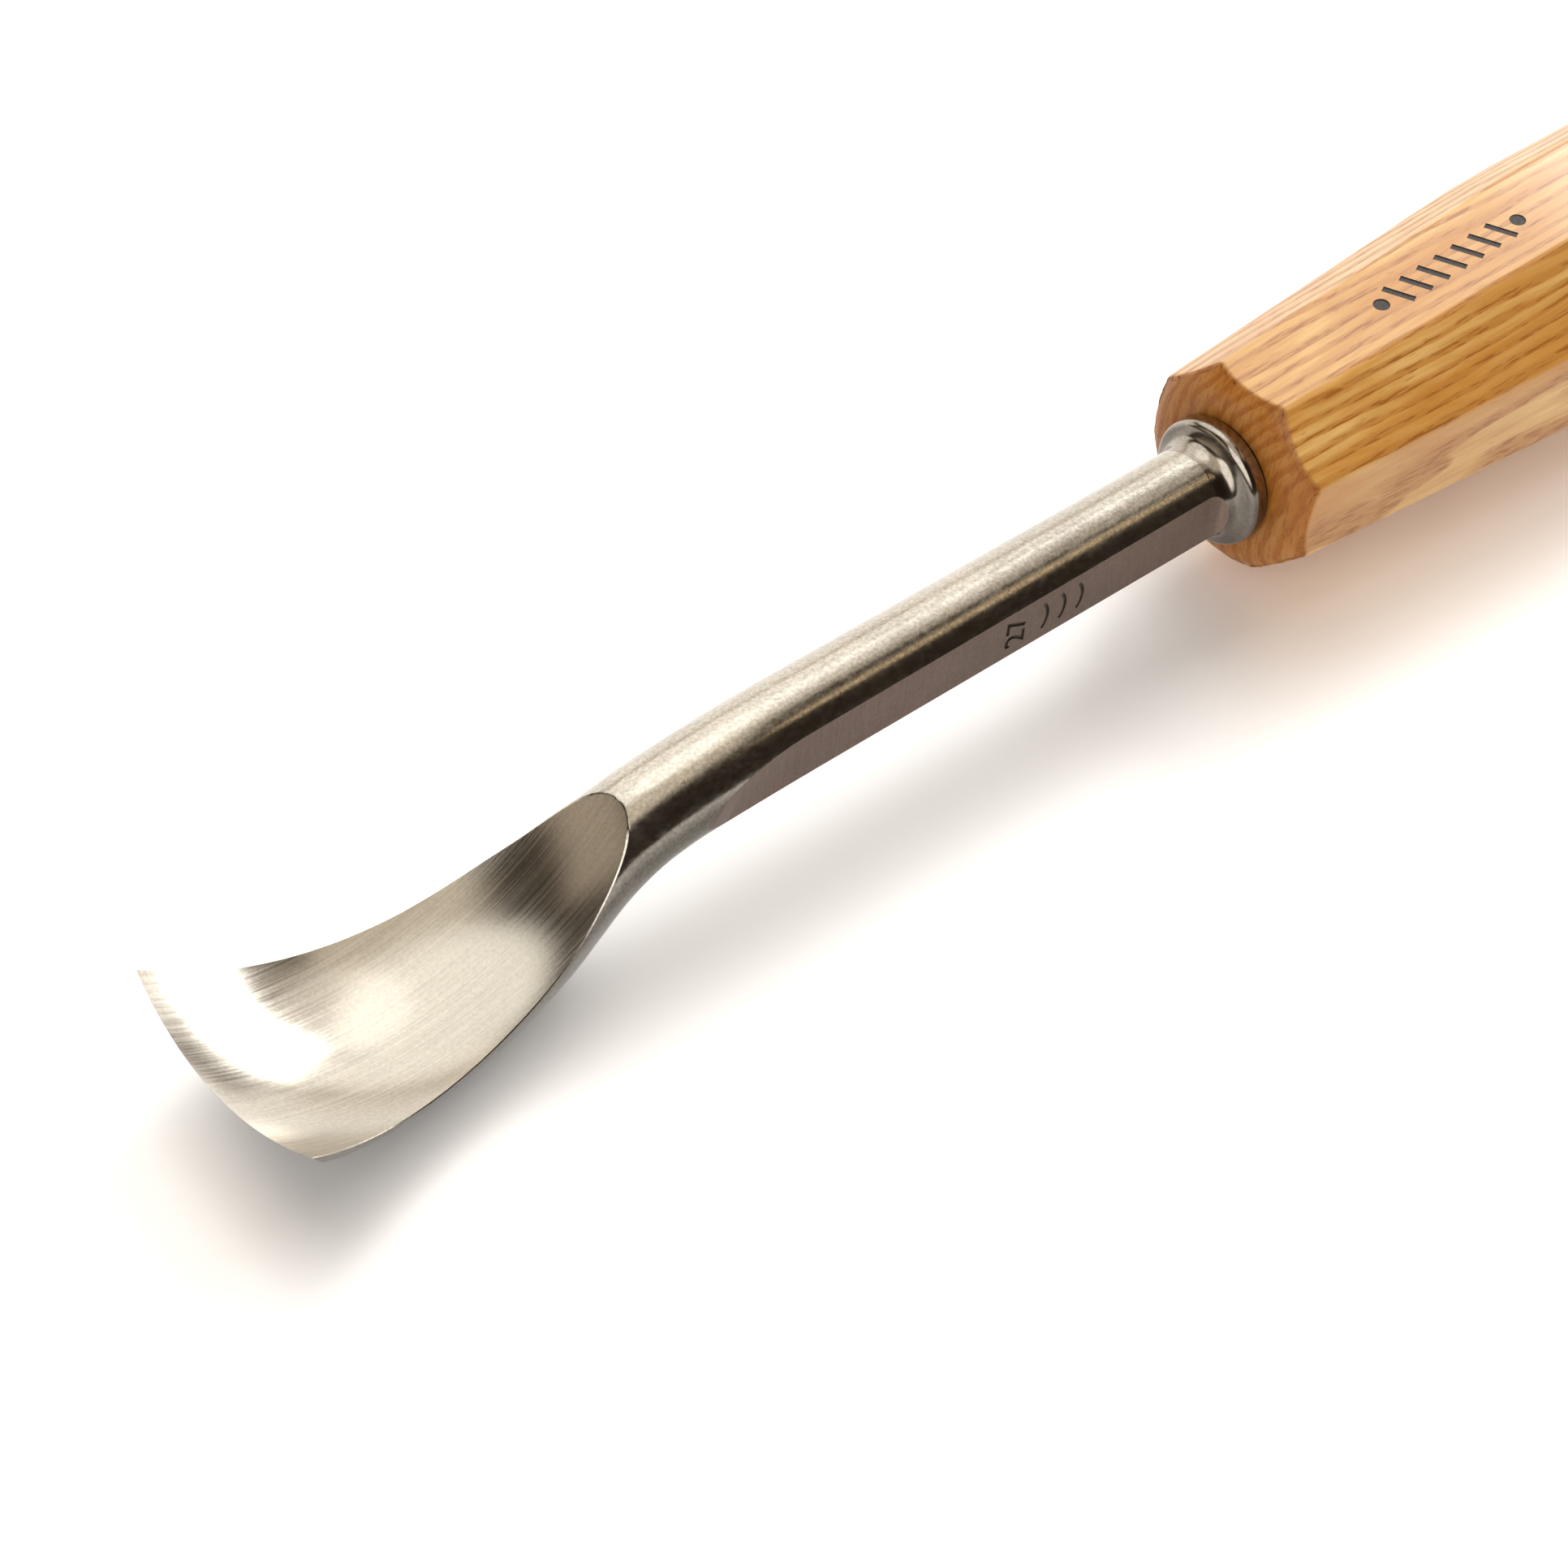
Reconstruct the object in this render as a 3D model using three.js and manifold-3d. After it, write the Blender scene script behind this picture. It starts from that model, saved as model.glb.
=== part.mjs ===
// Spoon-bent carving gouge with an octagonal wooden handle.
//
// Frame: millimetres, +Z up. The tool lies on a bench with the hollow of the
// blade facing up. X runs along the tool, from the cutting edge at -X to the
// butt of the handle at +X. The origin is the middle of the tool's length and
// width, on the bench.
//
// Three solid pieces: the forged steel blade with its bolster and tang, the
// wooden handle, and the steel ferrule hidden inside the handle's front end.

import * as THREE from "three";
import { mergeVertices } from "three/addons/utils/BufferGeometryUtils.js";
import Module from "manifold-3d";

// ---- Driving dimensions ---------------------------------------------------

const TOTAL_LENGTH = 256;
const HANDLE_LENGTH = 130.5;
const AXIS_HEIGHT = 14;
const CLEARANCE = 0.3;

// Handle, across its flats, and how far from its front each width is reached.
const HANDLE_FRONT_FLATS = 21.8;
const HANDLE_FULL_FLATS = 28;
const HANDLE_REAR_FLATS = 24.6;
const HANDLE_SWELL_END = 49;
const HANDLE_TAPER_START = 95;
const HANDLE_SIDES = 8;

// Steel bar that the blade is forged from.
const SHANK_RADIUS = 5;
const FLAT_HALF_WIDTH = 4.1;
const FLAT_FIRST_REACH = 7;
const FLAT_LAST_REACH = 58;
const FLAT_RUN_OUT_RADIUS = 42;

// Bolster that bears on the front of the handle.
const BOLSTER_RADIUS = 7;
const BOLSTER_THICKNESS = 2;
const BOLSTER_FILLET_REACH = 5;

// Square tapered tang inside the handle.
const TANG_LENGTH = 62;
const TANG_FRONT_HALF = 3.1;
const TANG_TIP_HALF = 1.7;

// Ring that keeps the handle from splitting round the tang.
const FERRULE_LENGTH = 10;
const FERRULE_OUTER_RADIUS = 6.2;
const FERRULE_INNER_RADIUS = 5;

// The hollow is the mark of a barrel-shaped wheel whose axle lies along Y.
const HOLLOW_REACH = 107;
const HOLLOW_CENTRE_HEIGHT = 24;
const HOLLOW_LENGTHWISE_RADIUS = 34.1;
const HOLLOW_SWEEP_RADIUS = 28;

// The outside bevel is the mark left inside a second, larger barrel.
const BEVEL_REACH = 93.5;
const BEVEL_CENTRE_HEIGHT = 19.4;
const BEVEL_LENGTHWISE_RADIUS = 40;
const BEVEL_SWEEP_RADIUS = 32.5;
const BEVEL_FIRST_REACH = 110;

// The forged bar, station by station. "reach" is the distance in front of the
// handle, "middle" the height of the widest line above the handle's axis, and
// "depth" and "rise" the heights of the section below and above that line.
const FORGED_STATIONS = [
  { reach: 2, halfWidth: 5, middle: 0, depth: 5, rise: 5 },
  { reach: 58, halfWidth: 5, middle: 0, depth: 5, rise: 5 },
  { reach: 64, halfWidth: 5, middle: -0.05, depth: 5, rise: 4.95 },
  { reach: 70, halfWidth: 5, middle: -0.3, depth: 4.8, rise: 4.8 },
  { reach: 74, halfWidth: 5, middle: -0.6, depth: 4.7, rise: 4.75 },
  { reach: 78, halfWidth: 5.05, middle: -1.3, depth: 4.9, rise: 4.95 },
  { reach: 82, halfWidth: 5.25, middle: -2.5, depth: 6.1, rise: 5.2 },
  { reach: 86, halfWidth: 6, middle: -3.9, depth: 7.5, rise: 5.2 },
  { reach: 90, halfWidth: 7.05, middle: -5.2, depth: 7.9, rise: 5 },
  { reach: 95, halfWidth: 8.1, middle: -6.6, depth: 7.3, rise: 5 },
  { reach: 100, halfWidth: 9, middle: -7.9, depth: 5.9, rise: 5 },
  { reach: 106, halfWidth: 10.1, middle: -8.3, depth: 4.5, rise: 5 },
  { reach: 112, halfWidth: 11.2, middle: -7.5, depth: 4, rise: 5 },
  { reach: 119, halfWidth: 12.45, middle: -4.9, depth: 5.2, rise: 5 },
  { reach: 127, halfWidth: 13.9, middle: 0.6, depth: 7, rise: 5 },
];
const FORGED_STEP = 1.7;

const ROUND_SIDES = 32;
const FINE_SIDES = 48;
const WHEEL_SIDES = 120;
const WHEEL_HALF_WIDTH = 19;
const WHEEL_PROFILE_STEPS = 18;

const HANDLE_FRONT_X = TOTAL_LENGTH / 2 - HANDLE_LENGTH;

// ---- Solids ---------------------------------------------------------------

const wasm = await Module();
wasm.setup();

// A closed geometry as a solid that can be joined to and cut by others.
function solid(geometry) {
  const bare = geometry.clone();
  bare.deleteAttribute("normal");
  bare.deleteAttribute("uv");
  const merged = mergeVertices(bare, 1e-4);
  const mesh = new wasm.Mesh({
    numProp: 3,
    vertProperties: new Float32Array(merged.attributes.position.array),
    triVerts: new Uint32Array(merged.index.array),
  });
  return new wasm.Manifold(mesh);
}

// The finished solid as a geometry again.
function geometryOf(manifold) {
  const mesh = manifold.getMesh();
  const geometry = new THREE.BufferGeometry();
  const positions = new Float32Array(mesh.vertProperties);
  geometry.setAttribute("position", new THREE.BufferAttribute(positions, 3));
  geometry.setIndex(new THREE.BufferAttribute(new Uint32Array(mesh.triVerts), 1));
  geometry.computeVertexNormals();
  return geometry;
}

// A body turned about the tool's axis. Each point is [distance behind the
// handle's front, radius], in order along the axis.
function turned(points, sides, startAngle = 0) {
  const profile = points.map(([along, radius]) => new THREE.Vector2(radius, along));
  const geometry = new THREE.LatheGeometry(profile, sides, startAngle);
  geometry.rotateZ(-Math.PI / 2);
  return geometry.translate(HANDLE_FRONT_X, 0, AXIS_HEIGHT);
}

// A wheel with an axle along Y and a rounded rim.
function barrelWheel(reach, centreHeight, lengthwiseRadius, sweepRadius) {
  const core = lengthwiseRadius - sweepRadius;
  const profile = [new THREE.Vector2(0, -WHEEL_HALF_WIDTH)];
  for (let i = 0; i <= WHEEL_PROFILE_STEPS; i += 1) {
    const across = WHEEL_HALF_WIDTH * ((2 * i) / WHEEL_PROFILE_STEPS - 1);
    const radius = core + Math.sqrt(sweepRadius ** 2 - across ** 2);
    profile.push(new THREE.Vector2(radius, across));
  }
  profile.push(new THREE.Vector2(0, WHEEL_HALF_WIDTH));
  const geometry = new THREE.LatheGeometry(profile, WHEEL_SIDES);
  return geometry.translate(HANDLE_FRONT_X - reach, 0, AXIS_HEIGHT + centreHeight);
}

// ---- Blade ----------------------------------------------------------------

// One size of the forged bar at any reach, on a smooth line that passes
// through the stations.
function forgedSize(name, reach) {
  const stations = FORGED_STATIONS;
  const last = stations.length - 1;
  const slope = (i) => {
    const before = stations[Math.max(i - 1, 0)];
    const after = stations[Math.min(i + 1, last)];
    return (after[name] - before[name]) / (after.reach - before.reach);
  };
  let i = 0;
  while (i < last - 1 && reach > stations[i + 1].reach) i += 1;
  const start = stations[i];
  const end = stations[i + 1];
  const span = end.reach - start.reach;
  const t = (reach - start.reach) / span;
  const startPart = (1 + 2 * t) * (1 - t) ** 2 * start[name];
  const endPart = t ** 2 * (3 - 2 * t) * end[name];
  const startLean = t * (1 - t) ** 2 * span * slope(i);
  const endLean = t ** 2 * (t - 1) * span * slope(i + 1);
  return startPart + endPart + startLean + endLean;
}

// A unit cylinder drawn out along X, with each ring brought to the section
// that the bar has at its reach.
function forgedBar() {
  const first = FORGED_STATIONS[0].reach;
  const bendStart = FORGED_STATIONS[1].reach;
  const tip = FORGED_STATIONS[FORGED_STATIONS.length - 1].reach;
  const formedRings = Math.round((tip - bendStart) / FORGED_STEP);
  const rings = formedRings + 1;
  const geometry = new THREE.CylinderGeometry(1, 1, rings, ROUND_SIDES, rings);
  geometry.rotateZ(-Math.PI / 2);
  const position = geometry.attributes.position;
  for (let i = 0; i < position.count; i += 1) {
    const ring = Math.round(rings / 2 - position.getX(i));
    const reach = ring === 0 ? first : bendStart + (ring - 1) * ((tip - bendStart) / formedRings);
    const up = position.getZ(i);
    const height = up > 0 ? forgedSize("rise", reach) : forgedSize("depth", reach);
    const x = HANDLE_FRONT_X - reach;
    const y = position.getY(i) * forgedSize("halfWidth", reach);
    const z = AXIS_HEIGHT + forgedSize("middle", reach) + up * height;
    position.setXYZ(i, x, y, z);
  }
  return geometry;
}

// What the grinder takes off one side of the shank: a flat that runs out in a
// shallow curve at the bend and in a short one at the bolster.
function flatWaste(side) {
  const outline = new THREE.Shape();
  const outside = 2 * SHANK_RADIUS;
  const bendX = HANDLE_FRONT_X - FLAT_LAST_REACH;
  const rearX = HANDLE_FRONT_X - FLAT_FIRST_REACH;
  const rise = outside - FLAT_HALF_WIDTH;
  const bendRun = Math.sqrt(FLAT_RUN_OUT_RADIUS ** 2 - (FLAT_RUN_OUT_RADIUS - rise) ** 2);
  const rearRun = FLAT_FIRST_REACH - BOLSTER_FILLET_REACH + 0.5;
  const bendCentre = side * (FLAT_HALF_WIDTH + FLAT_RUN_OUT_RADIUS);
  const turnStart = -side * (Math.PI / 2);
  const turnEnd = turnStart - side * Math.asin(bendRun / FLAT_RUN_OUT_RADIUS);
  outline.moveTo(rearX, side * FLAT_HALF_WIDTH);
  outline.lineTo(bendX, side * FLAT_HALF_WIDTH);
  outline.absarc(bendX, bendCentre, FLAT_RUN_OUT_RADIUS, turnStart, turnEnd, side > 0);
  outline.lineTo(rearX + rearRun, side * outside);
  outline.quadraticCurveTo(rearX + rearRun, side * FLAT_HALF_WIDTH, rearX, side * FLAT_HALF_WIDTH);
  const depth = 2 * outside;
  const geometry = new THREE.ExtrudeGeometry(outline, { depth, bevelEnabled: false, curveSegments: 10 });
  return geometry.translate(0, 0, AXIS_HEIGHT - outside);
}

// The round collar that bears on the handle, with its fillet to the shank.
function bolster() {
  const back = -CLEARANCE;
  const lip = back - BOLSTER_THICKNESS;
  const fillet = (BOLSTER_RADIUS + SHANK_RADIUS) / 2;
  return turned(
    [
      [-BOLSTER_FILLET_REACH, 0],
      [-BOLSTER_FILLET_REACH, SHANK_RADIUS],
      [lip - 1.6, SHANK_RADIUS + 0.25],
      [lip - 0.9, fillet - 0.2],
      [lip - 0.4, fillet + 0.5],
      [lip, BOLSTER_RADIUS - 0.1],
      [lip + 0.6, BOLSTER_RADIUS],
      [back, BOLSTER_RADIUS - 0.1],
      [back, 0],
    ],
    FINE_SIDES,
  );
}

// A square taper about the tool's axis, from its front to its rear.
function squareTaper(front, rear, frontHalf, rearHalf) {
  const corner = Math.SQRT2;
  return turned(
    [
      [front, 0],
      [front, frontHalf * corner],
      [rear, rearHalf * corner],
      [rear, 0],
    ],
    4,
    Math.PI / 4,
  );
}

// Everything below and in front of the bevel, near the cutting edge.
function bevelWaste() {
  const block = new THREE.BoxGeometry(40, 60, 60);
  block.translate(HANDLE_FRONT_X - BEVEL_FIRST_REACH - 20, 0, AXIS_HEIGHT - 15);
  const wheel = barrelWheel(BEVEL_REACH, BEVEL_CENTRE_HEIGHT, BEVEL_LENGTHWISE_RADIUS, BEVEL_SWEEP_RADIUS);
  return solid(block).subtract(solid(wheel));
}

function blade() {
  const hollow = barrelWheel(
    HOLLOW_REACH,
    HOLLOW_CENTRE_HEIGHT,
    HOLLOW_LENGTHWISE_RADIUS,
    HOLLOW_SWEEP_RADIUS,
  );
  const tang = squareTaper(-1, TANG_LENGTH, TANG_FRONT_HALF, TANG_TIP_HALF);
  const ground = solid(forgedBar())
    .subtract(solid(flatWaste(1)))
    .subtract(solid(flatWaste(-1)))
    .subtract(solid(hollow))
    .subtract(bevelWaste());
  return ground.add(solid(bolster())).add(solid(tang));
}

// ---- Handle ---------------------------------------------------------------

// The handle's eight sides, swelling from the front and tapering to the butt.
function handleOctagon() {
  const corner = 0.5 / Math.cos(Math.PI / HANDLE_SIDES);
  return turned(
    [
      [0, 0],
      [0, HANDLE_FRONT_FLATS * corner],
      [HANDLE_SWELL_END, HANDLE_FULL_FLATS * corner],
      [HANDLE_TAPER_START, HANDLE_FULL_FLATS * corner],
      [HANDLE_LENGTH, HANDLE_REAR_FLATS * corner],
      [HANDLE_LENGTH, 0],
    ],
    HANDLE_SIDES,
    Math.PI / HANDLE_SIDES,
  );
}

// The round envelope that the handle's two ends are turned to.
function handleEnvelope() {
  const frontRadius = HANDLE_FRONT_FLATS / 2;
  const rearRadius = HANDLE_REAR_FLATS / 2;
  const clear = HANDLE_FULL_FLATS;
  return turned(
    [
      [0, 0],
      [0, frontRadius - 1.9],
      [0.45, frontRadius - 0.9],
      [1.3, frontRadius + 0.1],
      [2.8, frontRadius + 1.2],
      [12, clear],
      [HANDLE_LENGTH - 12, clear],
      [HANDLE_LENGTH - 5, rearRadius + 1.1],
      [HANDLE_LENGTH - 2.6, rearRadius - 0.5],
      [HANDLE_LENGTH - 0.8, rearRadius - 3],
      [HANDLE_LENGTH, rearRadius - 5.5],
      [HANDLE_LENGTH, 0],
    ],
    FINE_SIDES,
  );
}

// The socket for the tang and, at its mouth, the seat of the ferrule.
function handleSocket() {
  const seat = turned(
    [
      [-1, 0],
      [-1, FERRULE_OUTER_RADIUS + CLEARANCE],
      [FERRULE_LENGTH + 2 * CLEARANCE, FERRULE_OUTER_RADIUS + CLEARANCE],
      [FERRULE_LENGTH + 2 * CLEARANCE, 0],
    ],
    FINE_SIDES,
  );
  const hole = squareTaper(-1, TANG_LENGTH + 2, TANG_FRONT_HALF + CLEARANCE, TANG_TIP_HALF + CLEARANCE);
  return solid(seat).add(solid(hole));
}

function handle() {
  return solid(handleOctagon()).intersect(solid(handleEnvelope())).subtract(handleSocket());
}

// ---- Ferrule --------------------------------------------------------------

function ferrule() {
  const front = CLEARANCE;
  const rear = CLEARANCE + FERRULE_LENGTH;
  return turned(
    [
      [front, FERRULE_INNER_RADIUS],
      [front, FERRULE_OUTER_RADIUS],
      [rear, FERRULE_OUTER_RADIUS],
      [rear, FERRULE_INNER_RADIUS],
      [front, FERRULE_INNER_RADIUS],
    ],
    FINE_SIDES,
  );
}

// ---- Scene graph ----------------------------------------------------------

function piece(name, geometry, colour, roughness, metalness) {
  const material = new THREE.MeshStandardMaterial({ color: colour, roughness, metalness });
  material.name = `${name}_material`;
  const mesh = new THREE.Mesh(geometry, material);
  mesh.name = name;
  return mesh;
}

const gouge = new THREE.Group();
gouge.name = "carving_gouge";
gouge.add(piece("blade", geometryOf(blade()), 0x9b9184, 0.32, 1));
gouge.add(piece("handle", geometryOf(handle()), 0xc98f52, 0.5, 0));
gouge.add(piece("ferrule", ferrule(), 0x8c8c8a, 0.4, 1));

export default gouge;
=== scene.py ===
"""A spoon-bent carving gouge with an octagonal ash handle, lying on a pale bench.

Sizes are written in millimetres and turned into metres by MM. "reach" is the
distance in front of the handle, towards the cutting edge.
"""

import math

import bmesh
import bpy
from mathutils import Matrix, Vector


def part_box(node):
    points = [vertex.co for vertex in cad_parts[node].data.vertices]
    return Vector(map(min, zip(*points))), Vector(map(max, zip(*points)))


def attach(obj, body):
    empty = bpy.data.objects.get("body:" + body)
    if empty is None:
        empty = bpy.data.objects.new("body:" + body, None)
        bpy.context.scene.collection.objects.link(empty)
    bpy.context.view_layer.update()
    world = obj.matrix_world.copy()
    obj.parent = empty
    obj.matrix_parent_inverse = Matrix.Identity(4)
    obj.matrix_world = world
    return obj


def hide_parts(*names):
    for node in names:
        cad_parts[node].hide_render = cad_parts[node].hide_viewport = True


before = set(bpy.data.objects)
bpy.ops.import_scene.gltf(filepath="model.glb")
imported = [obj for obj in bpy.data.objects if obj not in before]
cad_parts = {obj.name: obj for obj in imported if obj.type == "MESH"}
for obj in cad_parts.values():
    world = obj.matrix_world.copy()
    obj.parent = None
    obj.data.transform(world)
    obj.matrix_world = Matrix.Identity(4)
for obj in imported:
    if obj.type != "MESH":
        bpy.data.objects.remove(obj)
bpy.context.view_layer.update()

MM = 0.001

# ---- Sizes ----------------------------------------------------------------

HANDLE_LOW, HANDLE_HIGH = (Vector(corner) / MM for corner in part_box("handle"))
HANDLE_FRONT_X = HANDLE_LOW.x
AXIS_HEIGHT = (HANDLE_LOW.z + HANDLE_HIGH.z) / 2
HANDLE_LENGTH = HANDLE_HIGH.x - HANDLE_LOW.x

HANDLE_FRONT_FLATS = 21.8
HANDLE_FULL_FLATS = HANDLE_HIGH.z - HANDLE_LOW.z
HANDLE_REAR_FLATS = 24.6
HANDLE_SWELL_END = 49
HANDLE_TAPER_START = 95
HANDLE_SIDES = 8
HANDLE_EDGE_ROUNDING = 0.45
# Before its ends are turned, the octagon runs on past the front and the rear by OVERLENGTH,
# and its size across the flats changes there by these amounts per mm.
OVERLENGTH = 2.5
FRONT_WIDENING = 0.126
REAR_NARROWING = 0.096

SHANK_RADIUS = 5
FLAT_HALF_FRONT = 4.15
FLAT_HALF_REAR = 3.95
BOLSTER_RADIUS = 7
BOLSTER_BACK = -0.3
TANG_LENGTH = 62
TANG_FRONT_HALF = 3.1
TANG_TIP_HALF = 1.7
FERRULE_LENGTH = 10
FERRULE_OUTER_RADIUS = 6.2
FERRULE_INNER_RADIUS = 5
CLEARANCE = 0.3

# Barrel-shaped wheels: reach and height of the axle, lengthwise radius and
# sweep radius across.
HOLLOW_WHEEL = (107, 24, 34.1, 28)
BEVEL_WHEEL = (93.5, 19.4, 40, 32.5)
BEVEL_FIRST_REACH = 110
WHEEL_HALF_WIDTH = 19

# The forged bar by reach: half width, height of the widest line above the
# handle's axis, and how far the section goes below and above that line.
FORGED_STATIONS = (
    (2, 5, 0, 5, 5),
    (58, 5, 0, 5, 5),
    (64, 5, -0.05, 5, 4.95),
    (70, 5, -0.3, 4.8, 4.8),
    (74, 5, -0.6, 4.7, 4.75),
    (78, 5.05, -1.3, 4.9, 4.95),
    (82, 5.25, -2.5, 6.1, 5.2),
    (86, 6, -3.9, 7.5, 5.2),
    (90, 7.05, -5.2, 7.9, 5),
    (95, 8.1, -6.6, 7.3, 5),
    (100, 9, -7.9, 5.9, 5),
    (106, 10.1, -8.3, 4.5, 5),
    (112, 11.2, -7.5, 4, 5),
    (119, 12.45, -4.9, 5.2, 5),
    (127, 13.9, 0.6, 7, 5),
)
RIM_EASE = 0.1
OUTSIDE_STEPS = 112
HOLLOW_STEPS = 56
STATION_STEP = 0.8

# The burnt pattern on the top flat, its start measured from the handle's front.
PATTERN_START = 21
PATTERN_STEP = 2.6
PATTERN_COUNT = 9
PATTERN_DEPTH = 0.12
PATTERN_SLANT = 24
PATTERN_BAR = (0.8, 3.6)
PATTERN_DOT_RADIUS = 0.9

# The signs in the near flat. Places are measured from the handle's front, below 0 on the shank.
SIGN_DEPTH = 0.22
NUMBER_X = -32.8
NUMBER_SIZE = 3.7
ARC_XS = (-28.6, -26.2, -23.8)
ARC_RADIUS = 2.5
ARC_WIDTH = 0.42
ARC_HALF_ANGLE = 0.72

# ---- Small helpers --------------------------------------------------------


def clear_selection():
    if bpy.context.object and bpy.context.object.mode != "OBJECT":
        bpy.ops.object.mode_set(mode="OBJECT")
    bpy.ops.object.select_all(action="DESELECT")


def take(piece):
    """Makes piece the only selected and the active object."""
    clear_selection()
    piece.select_set(True)
    bpy.context.view_layer.objects.active = piece


def place(x, y, z):
    """A point in metres from millimetres behind the handle's front, across, and above the axis."""
    return Vector(((HANDLE_FRONT_X + x) * MM, y * MM, (AXIS_HEIGHT + z) * MM))


def mesh_piece(name, points, faces=(), edges=()):
    mesh = bpy.data.meshes.new(name)
    mesh.from_pydata(points, edges, faces)
    piece = bpy.data.objects.new(name, mesh)
    bpy.context.scene.collection.objects.link(piece)
    return piece


def ring_solid(name, rings):
    """A closed solid: its sides join rings of as many points each, and its two ends are single faces."""
    count = len(rings[0])
    points = [point for ring in rings for point in ring]
    faces = [tuple(range(count - 1, -1, -1)), tuple(range(len(points) - count, len(points)))]
    for first in range(0, len(points) - count, count):
        for i in range(count):
            after = (i + 1) % count
            faces.append((first + i, first + after, first + after + count, first + i + count))
    piece = mesh_piece(name, points, faces)
    tidy_mesh(piece)
    return piece


def tidy_mesh(piece, merge=0.002):
    """Merges doubles and points every face outwards."""
    take(piece)
    bpy.ops.object.mode_set(mode="EDIT")
    bpy.ops.mesh.select_all(action="SELECT")
    bpy.ops.mesh.remove_doubles(threshold=merge * MM)
    bpy.ops.mesh.normals_make_consistent(inside=False)
    bpy.ops.object.mode_set(mode="OBJECT")


def apply_modifier(piece, kind, **settings):
    take(piece)
    modifier = piece.modifiers.new(kind.lower(), kind)
    for key, value in settings.items():
        setattr(modifier, key, value)
    bpy.ops.object.modifier_apply(modifier=modifier.name)


def combine(piece, tool, operation):
    """Joins to piece, or cuts from it, the closed solid tool, which is then removed."""
    apply_modifier(
        piece, "BOOLEAN", object=tool, operation=operation, solver="EXACT", material_mode="TRANSFER"
    )
    bpy.data.objects.remove(tool)


def keep_inside(piece, node):
    """Brings points that lie a few hundredths of a millimetre outside the CAD part's box back to it."""
    low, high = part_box(node)
    for vertex in piece.data.vertices:
        vertex.co = [min(max(value, least), most) for value, least, most in zip(vertex.co, low, high)]


def smooth(piece, degrees):
    take(piece)
    bpy.ops.object.shade_smooth_by_angle(angle=math.radians(degrees))


def turned(name, profile, centre, axis, steps, first_angle=0.0):
    """A solid of revolution. profile is a list of (along the axis, radius) in mm."""
    along = Vector(axis)
    out = Matrix.Rotation(math.radians(first_angle), 3, along) @ Vector((0, 0, 1))
    points = [centre + (along * a + out * r) * MM for a, r in profile]
    edges = [(i, i + 1) for i in range(len(points) - 1)]
    piece = mesh_piece(name, points, edges=edges)
    take(piece)
    bpy.ops.object.mode_set(mode="EDIT")
    bpy.ops.mesh.select_all(action="SELECT")
    bpy.ops.mesh.spin(steps=steps, angle=2 * math.pi, center=centre, axis=axis)
    bpy.ops.object.mode_set(mode="OBJECT")
    tidy_mesh(piece)
    return piece


def arc_points(start, end, middle, count):
    """Points on the smooth bow from start to end that leans towards middle."""
    points = []
    for i in range(count + 1):
        t = i / count
        points.append(
            tuple(
                (1 - t) ** 2 * s + 2 * t * (1 - t) * m + t * t * e
                for s, m, e in zip(start, middle, end)
            )
        )
    return points


# ---- Camera ---------------------------------------------------------------

FOCAL_PIXELS = 4600
FRAME_PIXELS = 1932
SENSOR = 36
CAMERA_AZIMUTH = -44.31
CAMERA_ELEVATION = 46.84
CAMERA_ROLL = 5.09
CAMERA_FROM_HANDLE_FRONT = (-232.2, -177.6, 256.2)


def make_camera():
    data = bpy.data.cameras.new("camera")
    data.sensor_width = SENSOR
    data.lens = FOCAL_PIXELS / FRAME_PIXELS * SENSOR
    data.clip_start = 0.01
    camera = bpy.data.objects.new("camera", data)
    bpy.context.scene.collection.objects.link(camera)
    turn = Matrix.Rotation(math.radians(CAMERA_AZIMUTH), 4, "Z")
    tilt = Matrix.Rotation(math.radians(90 - CAMERA_ELEVATION), 4, "X")
    roll = Matrix.Rotation(math.radians(CAMERA_ROLL), 4, "Z")
    stand = Matrix.Translation(place(*CAMERA_FROM_HANDLE_FRONT))
    camera.matrix_world = stand @ turn @ tilt @ roll
    bpy.context.scene.camera = camera


# ---- Node helpers ---------------------------------------------------------


def node_tree(owner):
    owner.use_nodes = True
    owner.node_tree.nodes.clear()
    return owner.node_tree


def add_node(tree, kind, inputs=None, **settings):
    """A node with its settings, and its inputs set to numbers or linked from sockets."""
    node = tree.nodes.new(kind)
    for key, value in settings.items():
        setattr(node, key, value)
    for key, value in (inputs or {}).items():
        if isinstance(value, bpy.types.NodeSocket):
            tree.links.new(value, node.inputs[key])
        else:
            node.inputs[key].default_value = value
    return node


def ramp(tree, factor, stops):
    """A colour ramp's colour output. stops are (position, colour)."""
    node = add_node(tree, "ShaderNodeValToRGB", {"Fac": factor})
    elements = node.color_ramp.elements
    while len(elements) < len(stops):
        elements.new(0.5)
    for element, (position, colour) in zip(elements, stops):
        element.position = position
        element.color = (*colour, 1)
    return node.outputs["Color"]


def finish_material(tree, shader):
    out = add_node(tree, "ShaderNodeOutputMaterial")
    tree.links.new(shader.outputs["BSDF"], out.inputs["Surface"])


def paint(tree, under, share, over):
    """The colour under, covered by the colour over as far as share says."""
    node = tree.nodes.new("ShaderNodeMix")
    node.data_type = "RGBA"
    for slot, value in ((0, share), (6, under), (7, over)):
        if isinstance(value, bpy.types.NodeSocket):
            tree.links.new(value, node.inputs[slot])
        elif slot == 0:
            node.inputs[slot].default_value = value
        else:
            node.inputs[slot].default_value = (*value, 1)
    return node.outputs[2]


def scaled(tree, colour, factor):
    node = add_node(tree, "ShaderNodeVectorMath", {0: colour, "Scale": factor}, operation="SCALE")
    return node.outputs["Vector"]


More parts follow.
